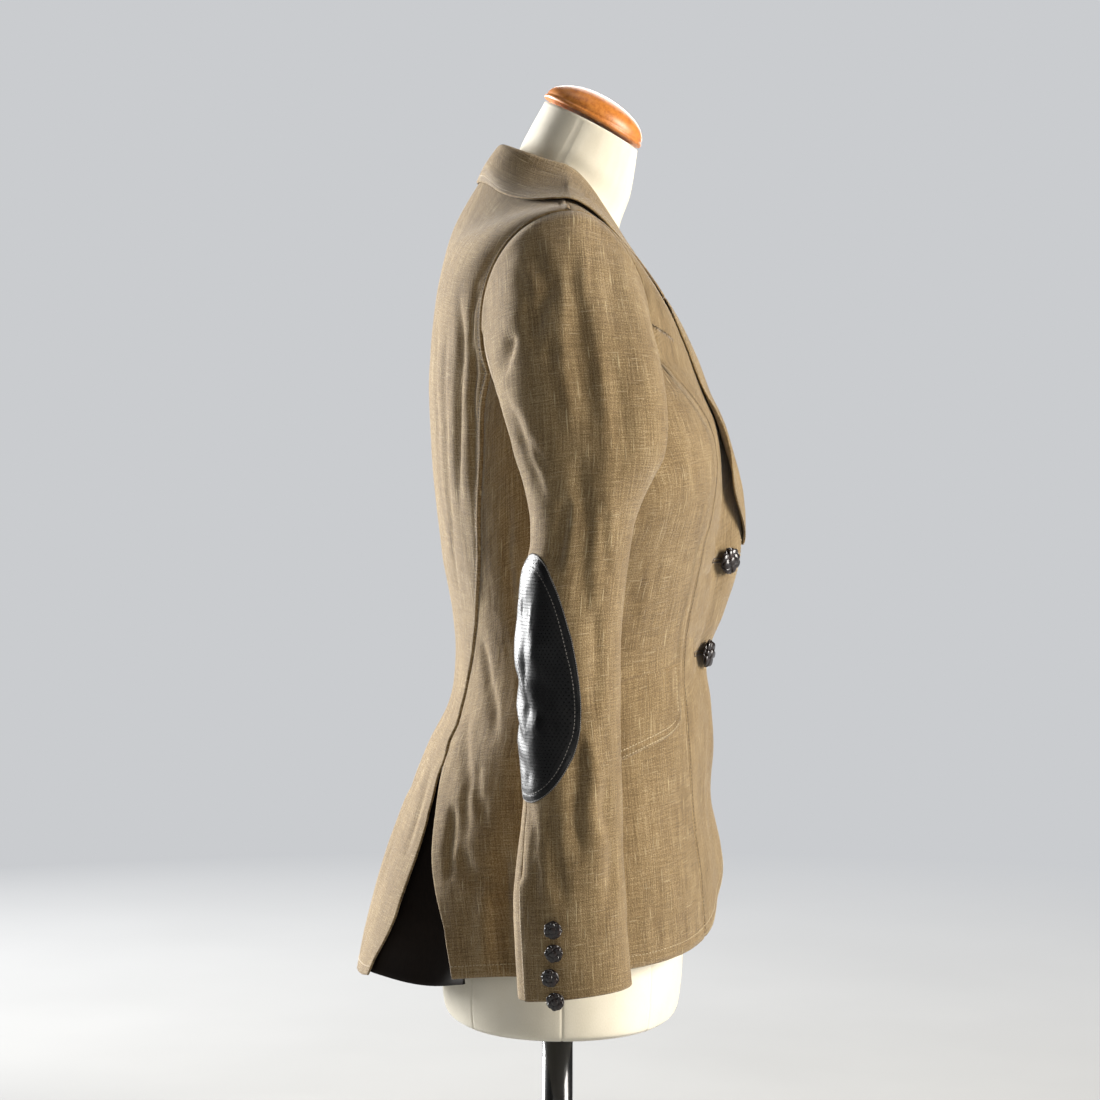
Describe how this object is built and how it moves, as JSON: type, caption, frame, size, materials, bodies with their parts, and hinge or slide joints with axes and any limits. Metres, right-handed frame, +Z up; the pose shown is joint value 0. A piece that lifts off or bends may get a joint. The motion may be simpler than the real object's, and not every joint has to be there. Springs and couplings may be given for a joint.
{
  "type": "single-breasted blazer on a dress form",
  "caption": "Fitted linen blazer with notched lapels, elbow patches, slanted pocket flaps and flared back tails, buttoned on a limbless dress form with a round stand.",
  "frame": {"origin": "on the floor at the foot of the pole's axis, in the flat underside of the stand's base", "axes": "+Z up; -Y to the wearer's front; +X to the wearer's left"},
  "size_m": [0.5102, 0.3068, 0.8856],
  "materials": {
    "linen": "slubby tan linen, plain weave, matt",
    "lining": "dark brown plain lining",
    "patch_leather": "black perforated nappa, half gloss",
    "button": "dark brown knotted dome, glossy",
    "form_cloth": "cream cotton jersey, stretched",
    "varnished_wood": "orange varnished beech, glossy",
    "black_steel": "black gloss paint"
  },
  "bodies": {
    "root": {"front_right": "linen", "side_front_right": "linen", "side_back_right": "linen", "back_right": "linen", "pleat_right": "lining", "lapel_right": "linen", "sleeve_upper_right": "linen", "sleeve_under_right": "linen", "elbow_patch_right": "patch_leather", "pocket_flap_right": "linen", "cuff_button_right_1": "button", "cuff_button_right_2": "button", "cuff_button_right_3": "button", "cuff_button_right_4": "button", "front_left": "linen", "side_front_left": "linen", "side_back_left": "linen", "back_left": "linen", "pleat_left": "lining", "lapel_left": "linen", "sleeve_upper_left": "linen", "sleeve_under_left": "linen", "elbow_patch_left": "patch_leather", "pocket_flap_left": "linen", "cuff_button_left_1": "button", "cuff_button_left_2": "button", "cuff_button_left_3": "button", "cuff_button_left_4": "button", "collar": "linen", "front_button_1": "button", "front_button_2": "button", "form_torso": "form_cloth", "form_cap": "varnished_wood", "stand_base": "black_steel", "stand_pole": "black_steel"}
  },
  "joints": []
}
